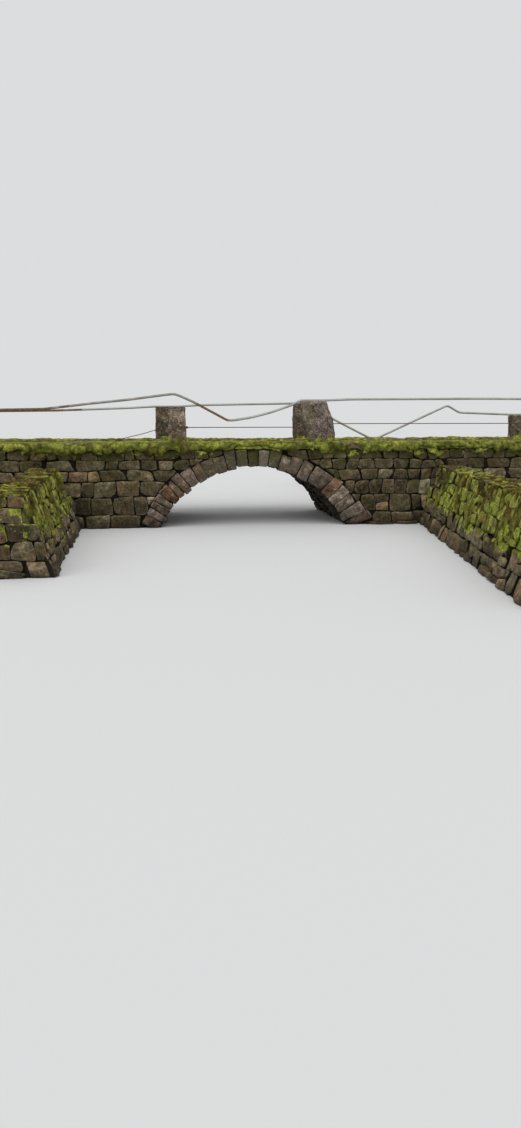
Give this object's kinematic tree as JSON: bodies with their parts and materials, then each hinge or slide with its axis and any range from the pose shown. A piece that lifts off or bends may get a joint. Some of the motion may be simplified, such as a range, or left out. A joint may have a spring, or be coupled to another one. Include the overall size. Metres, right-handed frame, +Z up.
{
  "type": "stone arch bridge",
  "caption": "Small dry stone arch bridge over a waterway, with wing walls, mossy edge stones and bent tube rails on rough granite posts.",
  "frame": {"origin": "on the water line, halfway between the arch's springings and halfway between the two faces", "axes": "+X to the right along the bridge, +Y along the waterway away from the viewer, +Z up"},
  "size_m": [13.9956, 18.706, 2.6651],
  "materials": {
    "rubble": "rough dry laid rubble with moss",
    "arch_stone": "rough split stone",
    "edge_stone": "stone under thick moss",
    "turf": "gravel and earth with moss",
    "granite": "rough split granite",
    "tube": "weathered galvanised",
    "rusty_iron": "rusted"
  },
  "bodies": {
    "root": {"left_abutment": "rubble", "right_abutment": "rubble", "arch_barrel": "arch_stone", "front_arch_ring": "arch_stone", "back_arch_ring": "arch_stone", "front_left_spandrel": "rubble", "front_right_spandrel": "rubble", "back_left_spandrel": "rubble", "back_right_spandrel": "rubble", "core_fill": "rubble", "turf_deck": "turf", "front_left_edge_stones": "edge_stone", "front_centre_edge_stones": "edge_stone", "front_right_edge_stones": "edge_stone", "back_left_edge_stones": "edge_stone", "back_centre_edge_stones": "edge_stone", "back_right_edge_stones": "edge_stone", "front_left_wing_wall": "rubble", "front_right_wing_wall": "rubble", "back_left_wing_wall": "rubble", "back_right_wing_wall": "rubble", "front_left_post": "granite", "front_right_post": "granite", "back_left_post": "granite", "back_right_post": "granite", "front_left_end_post": "granite", "front_right_end_post": "granite", "back_left_end_post": "granite", "back_right_end_post": "granite", "front_left_rail": "tube", "front_centre_rail": "tube", "front_right_rail": "tube", "back_left_rail": "tube", "back_centre_rail": "tube", "back_right_rail": "tube", "front_centre_rod": "rusty_iron", "front_right_rod": "rusty_iron", "back_left_rod": "rusty_iron", "rod_collar": "rusty_iron"}
  },
  "joints": []
}
